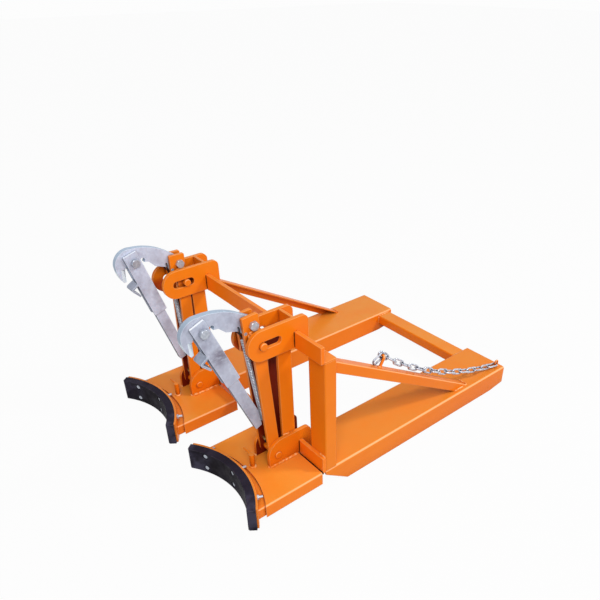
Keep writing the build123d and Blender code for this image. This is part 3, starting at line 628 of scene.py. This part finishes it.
def bead(start, end, face_a, face_b, size):
    """A rippled fillet weld in the corner between two faces, as points and faces."""
    along = end - start
    length = along.length
    along.normalize()
    face_a = Vector(face_a).normalized()
    face_b = Vector(face_b).normalized()
    leg = size / 1000
    ring_step = 0.0016
    ripple = 0.0044
    root_depth = 0.0004
    arc = 7
    swell_rings = 6
    count = max(int(length / ring_step), swell_rings)
    points = []
    phase = bead_random.random()
    swells = [bead_random.uniform(0.74, 1.30) for _ in range(count // swell_rings + 3)]
    for ring in range(count + 1):
        run = length * ring / count
        spot = ring / swell_rings
        low = int(spot)
        swell = swells[low] * (1 - spot + low) + swells[low + 1] * (spot - low)
        near_end = min(run, length - run) / (leg * 1.1)
        taper = math.sqrt(max(1 - (1 - min(near_end, 1)) ** 2, 0.02))
        for point in range(arc):
            turn = point / (arc - 1)
            lead = ripple * 0.42 * math.sin(math.pi * turn)
            wave = ((run - lead) / ripple + phase) % 1.0
            scale = leg * swell * taper * (0.93 + 0.14 * math.sin(math.pi * wave))
            bulge = 0.80 + 0.16 * math.sin(math.pi * turn)
            side = face_b * math.cos(turn * math.pi / 2) + face_a * math.sin(turn * math.pi / 2)
            points.append(start + along * run + side * scale * bulge)
        points.append(start + along * run - (face_a + face_b) * root_depth)
    return points, ring_faces(count + 1, arc + 1)


def collar(foot, axis, rod_radius, size):
    """A rippled weld ring round the foot of a rod, as points and faces."""
    axis = axis.normalized()
    across = axis.orthogonal().normalized()
    other = axis.cross(across)
    inner = rod_radius / 1000
    leg = size / 1000
    sink = 0.0003
    around = 36
    arc = 6
    points = []
    for turn in range(around):
        angle = 2 * math.pi * turn / around
        out = across * math.cos(angle) + other * math.sin(angle)
        swell = 1 + 0.10 * math.sin(angle * 9) + bead_random.uniform(-0.05, 0.05)
        for point in range(arc):
            tilt = point / (arc - 1) * math.pi / 2
            reach = inner - sink + leg * swell * math.cos(tilt)
            points.append(foot + out * reach + axis * (leg * swell * math.sin(tilt) - sink))
        points.append(foot + out * (inner - 2 * sink) - axis * (2 * sink))
    faces = []
    row = arc + 1
    for turn in range(around):
        after = (turn + 1) % around
        for point in range(row):
            step = (point + 1) % row
            faces.append((turn * row + point, after * row + point, after * row + step, turn * row + step))
    return points, faces


up = (0, 0, 1)
down = (0, 0, -1)
forward = (0, -1, 0)
rearward = (0, 1, 0)


def seam_across(x_start, x_end, y, z):
    """The two ends of a seam that runs sideways."""
    return (x_start, y, z), (x_end, y, z)


def seam_along(x, y_start, y_end, z):
    """The two ends of a seam that runs front to back."""
    return (x, y_start, z), (x, y_end, z)


def seam_up(x, y, z_start, z_end):
    """The two ends of a seam that runs upward."""
    return (x, y, z_start), (x, y, z_end)


def seam_beads(x, sign, seams):
    """A bead in each seam, on one side of the plane at x."""
    chunks = []
    for (first, last), face_a, face_b, size in seams:
        start = at(x + sign * first[0], first[1], first[2])
        end = at(x + sign * last[0], last[1], last[2])
        chunks.append(bead(start, end, face_a, face_b, size))
    return chunks


def frame_welds():
    """Beads of the welded frame, on both sides."""
    off_brace = (0, brace_slope, 1)
    chunks = []
    for sign in (-1, 1):
        out = (sign, 0, 0)
        inward = (-sign, 0, 0)
        seams = [
            (seam_across(post_inside, post_seam_end, post_rear, pocket_top), rearward, up, 6),
            (seam_along(post_inside, chassis_front + 4, post_rear, pocket_top), inward, up, 6),
            (seam_across(lower_bead_start, bar_seam_end, chassis_front, lower_bar_high), forward, up, 7),
            (seam_across(post_inside, bar_seam_end, chassis_front, post_top), rearward, up, 6),
            (seam_up(post_inside, chassis_front, *post_bar_seam), inward, rearward, 5),
            (seam_along(brace_outside, brace_under, brace_foot + 2, pocket_top), out, up, 5),
            (seam_across(brace_inside, brace_outside, brace_foot, pocket_top), rearward, up, 5),
            (seam_across(brace_inside, brace_outside - 4, post_rear, brace_high), off_brace, rearward, 5),
            (seam_up(brace_outside, post_rear, *brace_post_seam), out, rearward, 5),
            (seam_along(pocket_inside, rear_bar_front + 2, rear_bar_rear - 2, rear_bar_top), inward, up, 5),
            (seam_up(pocket_inside, rear_bar_front, *rear_bar_seam), inward, forward, 5),
            (seam_up(pocket_inside, rear_bar_rear, *rear_bar_seam), inward, rearward, 5),
        ]
        chunks += seam_beads(0, sign, seams)
    return joined("frame_welds", chunks, weld_look)


def head_welds(side):
    """Beads of one fixed head: lug plates, masts, guide plates and lever stop."""
    x = head_places[side]
    chunks = []
    for sign in (-1, 1):
        out = (sign, 0, 0)
        inward = (-sign, 0, 0)
        seams = [
            (seam_along(plate_outside, lug_front + 2, foot_rear - 1, foot_top), out, up, 8),
            (seam_across(plate_inside, plate_outside, lug_front, foot_top), forward, up, 6),
            (seam_up(plate_outside, chassis_front, *lug_bar_seam), out, rearward, 5),
            (seam_up(plate_outside, chassis_front, *guide_bar_seam), out, rearward, 5),
            (seam_along(plate_outside, bar_face, chassis_front, upper_bar_low), out, down, 7),
            (seam_along(plate_inside, mast_front - 2, mast_front + mast_lug_seam, lug_high), out, up, 7),
            (seam_along(plate_inside, mast_front + 2, foot_rear - 2, guide_bottom), out, down, 5),
            (seam_along(mast_inside, mast_front + 2, foot_rear - 2, foot_top), inward, up, 5),
            (seam_across(mast_inside, plate_inside, mast_front, foot_top), forward, up, 5),
        ]
        chunks += seam_beads(x, sign, seams)
    chunks.append(collar(at(x, pivot_y - lever_stop_reach, foot_top), Vector(up), lever_stop_radius, 6))
    return joined("head_welds_" + side, chunks, weld_look)


def seam_shadows(side):
    """Dark strips that paint the shade in the open seams between one head and the crossbars."""
    x = head_places[side]
    chunks = []
    for sign in (-1, 1):
        out = (sign, 0, 0)
        seams = [
            (seam_up(plate_outside, bar_face, foot_top - 6, lower_bar_high - 1), out, forward, 2.6),
            (seam_up(plate_outside, bar_face, upper_bar_low + 4, upper_bar_high - 1), out, forward, 2.6),
        ]
        if sign * x > 0:
            slit = seam_across(plate_outside, foot_side, bar_face, foot_slit_height)
            seams.append((slit, forward, up, 7.6))
        chunks += seam_beads(x, sign, seams)
    return joined("seam_shadows_" + side, chunks, seam_shade_look)


def arm_welds(side):
    """Beads that hold the head plates to the tops of the arm bars."""
    lean = math.radians(arm_leans[side])
    arm_up = (0, math.sin(lean), math.cos(lean))
    arm_front = (0, -math.cos(lean), math.sin(lean))
    chunks = []
    for sign in (-1, 1):
        x = sign * arm_weld_side
        out = (sign, 0, 0)
        front, rear = [on_arm(side, x, y, arm_top) for y in arm_head_seam]
        chunks.append(bead(front, rear, out, arm_up, 5))
        low, high = [on_arm(side, x, arm_front_seam, z) for z in (arm_seam_low, arm_top - 4)]
        chunks.append(bead(low, high, out, arm_front, 4))
    return joined("arm_welds_" + side, chunks, weld_look)


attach(frame_welds(), "chassis")
for side in ("left", "right"):
    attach(head_welds(side), "chassis")
    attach(arm_welds(side), "arm_" + side)


# Tension springs


spring_outside = 17.0
spring_wire = 4.0
spring_pitch = 7.0
hook_wire = 4.0
spring_top = (-38.0, 520.0)
spring_bottom = (-11.0, 148.0)
spring_hole = (-52.0, 575.0)
spring_peg = (-8.0, 43.0)
hook_half_width = 14.5
hook_drop = 26.0
peg_radius = 6.0
peg_gap = 0.3


def tension_spring(side):
    """A close-wound coil with a loop through the beak and an eye round the peg."""
    top = on_arm(side, 0, *spring_top)
    bottom = on_arm(side, 0, *spring_bottom)
    along = (top - bottom).normalized()
    across = Vector((1, 0, 0))
    other = along.cross(across)
    length = (top - bottom).length
    turns = length * 1000 / spring_pitch
    radius = (spring_outside - spring_wire) / 2000
    per_turn = 18
    coil_sides = 7
    coil = []
    for step in range(int(turns * per_turn) + 1):
        angle = 2 * math.pi * step / per_turn
        spot = bottom + along * (length * step / (turns * per_turn))
        coil.append(spot + (across * math.cos(angle) + other * math.sin(angle)) * radius)
    hole_y, hole_z = spring_hole
    low_z = hole_z - hook_drop
    wire_lap = 0.004
    hook_bend = 0.006
    hook_sides = 10
    loop = [
        top - along * wire_lap + across * radius,
        top + along * wire_lap + across * radius * 0.6,
        on_arm(side, 0, hole_y + 2, low_z),
        on_arm(side, -hook_half_width, hole_y, low_z),
        on_arm(side, -hook_half_width, hole_y, hole_z),
        on_arm(side, hook_half_width, hole_y, hole_z),
        on_arm(side, hook_half_width, hole_y, low_z),
    ]
    chunks = [tube(bent(loop, hook_bend, 6), hook_wire / 2000, hook_sides)]
    peg = on_arm(side, 0, *spring_peg)
    reach = (bottom - peg).normalized()
    ring_across = across.cross(reach)
    ring_radius = (peg_radius + hook_wire / 2 + peg_gap) / 1000
    eye_gap = 20
    eye_steps = 32
    eye = []
    for step in range(eye_steps + 1):
        angle = math.radians(-eye_gap - (360 - 2 * eye_gap) * step / eye_steps)
        eye.append(peg + (reach * math.cos(angle) + ring_across * math.sin(angle)) * ring_radius)
    stem_drop = 0.006
    stem_rise = 0.012
    stem = [
        bottom + along * wire_lap - across * radius,
        bottom - along * stem_drop - across * radius * 0.4,
        peg + reach * (ring_radius + stem_rise),
        eye[0],
    ]
    chunks.append(tube(bent(stem, hook_bend, 5) + eye[1:], hook_wire / 2000, hook_sides))
    wire = tube(coil, spring_wire / 2000, coil_sides)
    winding = joined("spring_coil_" + side, [wire], looks["spring_steel"])
    loops = joined("spring_loops_" + side, chunks, loop_look)
    for piece in (winding, loops):
        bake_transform(piece)
    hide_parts("tension_spring_" + side)


for side in ("left", "right"):
    tension_spring(side)


# Chain feet, and painted shade in the open seams


def chain_welds():
    """Weld rings round the feet of the chain's eye and hook."""
    chunks = [collar(at(eye_side, y, pocket_top), Vector(up), eye_radius, 3.5) for y in eye_legs]
    chunks.append(collar(at(*hook_foot), Vector((0, brace_slope, 1)), hook_radius, 4.5))
    return joined("chain_welds", chunks, weld_look)


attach(chain_welds(), "chassis")
for side in ("left", "right"):
    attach(seam_shadows(side), "chassis")


# Floor, light and camera


def emission_for_camera(tree, output, base, white):
    """Show plain white to the camera, to gloss and through glass, and the base shader to other rays."""
    path = tree.nodes.new("ShaderNodeLightPath")
    seen = path.outputs["Is Camera Ray"]
    for ray in ("Is Glossy Ray", "Is Transmission Ray"):
        either = tree.nodes.new("ShaderNodeMath")
        either.operation = "MAXIMUM"
        tree.links.new(seen, either.inputs[0])
        tree.links.new(path.outputs[ray], either.inputs[1])
        seen = either.outputs[0]
    mixer = tree.nodes.new("ShaderNodeMixShader")
    tree.links.new(seen, mixer.inputs[0])
    tree.links.new(base, mixer.inputs[1])
    tree.links.new(white, mixer.inputs[2])
    tree.links.new(mixer.outputs[0], output.inputs["Surface"])


def floor():
    """A pale floor that shows white with a faint contact shadow."""
    half = 30.0
    low = -0.0005
    mesh = bpy.data.meshes.new("floor")
    corners = [(-half, -half, low), (half, -half, low), (half, half, low), (-half, half, low)]
    mesh.from_pydata(corners, [], [(0, 1, 2, 3)])
    plane = bpy.data.objects.new("floor", mesh)
    bpy.context.scene.collection.objects.link(plane)
    material = bpy.data.materials.new("floor")
    material.use_nodes = True
    tree = material.node_tree
    tree.nodes.clear()
    output = tree.nodes.new("ShaderNodeOutputMaterial")
    plain = tree.nodes.new("ShaderNodeBsdfDiffuse")
    plain.inputs["Color"].default_value = (0.55, 0.55, 0.55, 1)
    glow = tree.nodes.new("ShaderNodeEmission")
    glow.inputs["Color"].default_value = (1, 1, 1, 1)
    glow.inputs["Strength"].default_value = 1.0
    pale = tree.nodes.new("ShaderNodeMixShader")
    pale.inputs[0].default_value = 0.96
    tree.links.new(plain.outputs[0], pale.inputs[1])
    tree.links.new(glow.outputs[0], pale.inputs[2])
    emission_for_camera(tree, output, plain.outputs[0], pale.outputs[0])
    mesh.materials.append(material)


def world():
    """Soft white surroundings."""
    surroundings = bpy.data.worlds.new("studio")
    bpy.context.scene.world = surroundings
    surroundings.use_nodes = True
    tree = surroundings.node_tree
    tree.nodes.clear()
    output = tree.nodes.new("ShaderNodeOutputWorld")
    light = tree.nodes.new("ShaderNodeBackground")
    light.inputs["Color"].default_value = (1.0, 1.0, 1.0, 1)
    light.inputs["Strength"].default_value = 0.38
    white = tree.nodes.new("ShaderNodeBackground")
    white.inputs["Color"].default_value = (1, 1, 1, 1)
    white.inputs["Strength"].default_value = 0.98
    emission_for_camera(tree, output, light.outputs[0], white.outputs[0])


def area_light(name, place, target, size, power):
    """A soft square lamp that faces a target."""
    lamp = bpy.data.lights.new(name, "AREA")
    lamp.energy = power
    lamp.size = size
    thing = bpy.data.objects.new(name, lamp)
    thing.location = place
    aim = Vector(target) - Vector(place)
    thing.rotation_euler = aim.to_track_quat("-Z", "Y").to_euler()
    bpy.context.scene.collection.objects.link(thing)


def camera():
    """The photograph's camera, found from the frame's edges."""
    azimuth = math.radians(view_azimuth)
    elevation = math.radians(view_elevation)
    roll = math.radians(view_roll)
    back = Vector((
        math.sin(azimuth) * math.cos(elevation),
        -math.cos(azimuth) * math.cos(elevation),
        math.sin(elevation),
    ))
    level = Vector((math.cos(azimuth), math.sin(azimuth), 0))
    upright = back.cross(level)
    right = level * math.cos(roll) + upright * math.sin(roll)
    top = upright * math.cos(roll) - level * math.sin(roll)
    lens = bpy.data.cameras.new("camera")
    lens.sensor_fit = "HORIZONTAL"
    lens.sensor_width = sensor_width
    lens.lens = sensor_width * focal_pixels / image_pixels
    lens.shift_x = -(centre_pixel[0] - image_pixels / 2) / image_pixels
    lens.shift_y = (centre_pixel[1] - image_pixels / 2) / image_pixels
    lens.clip_end = 100.0
    eye = bpy.data.objects.new("camera", lens)
    sideways, upward, distance = view_offset
    place = level * sideways + upright * upward + back * distance
    place.y = place.y + shift_y / 1000
    turn = Matrix((right, top, back)).transposed().to_4x4()
    eye.matrix_world = Matrix.Translation(place) @ turn
    bpy.context.scene.collection.objects.link(eye)
    bpy.context.scene.camera = eye


floor()
world()
area_light("key", place=(3.7, -2.5, 4.6), target=(0, 0, 0.3), size=2.8, power=210.0)
area_light("rim", place=(3.4, 3.3, 4.3), target=(0, 0, 0.2), size=0.8, power=150.0)
camera()
bpy.context.scene.view_settings.view_transform = "Standard"
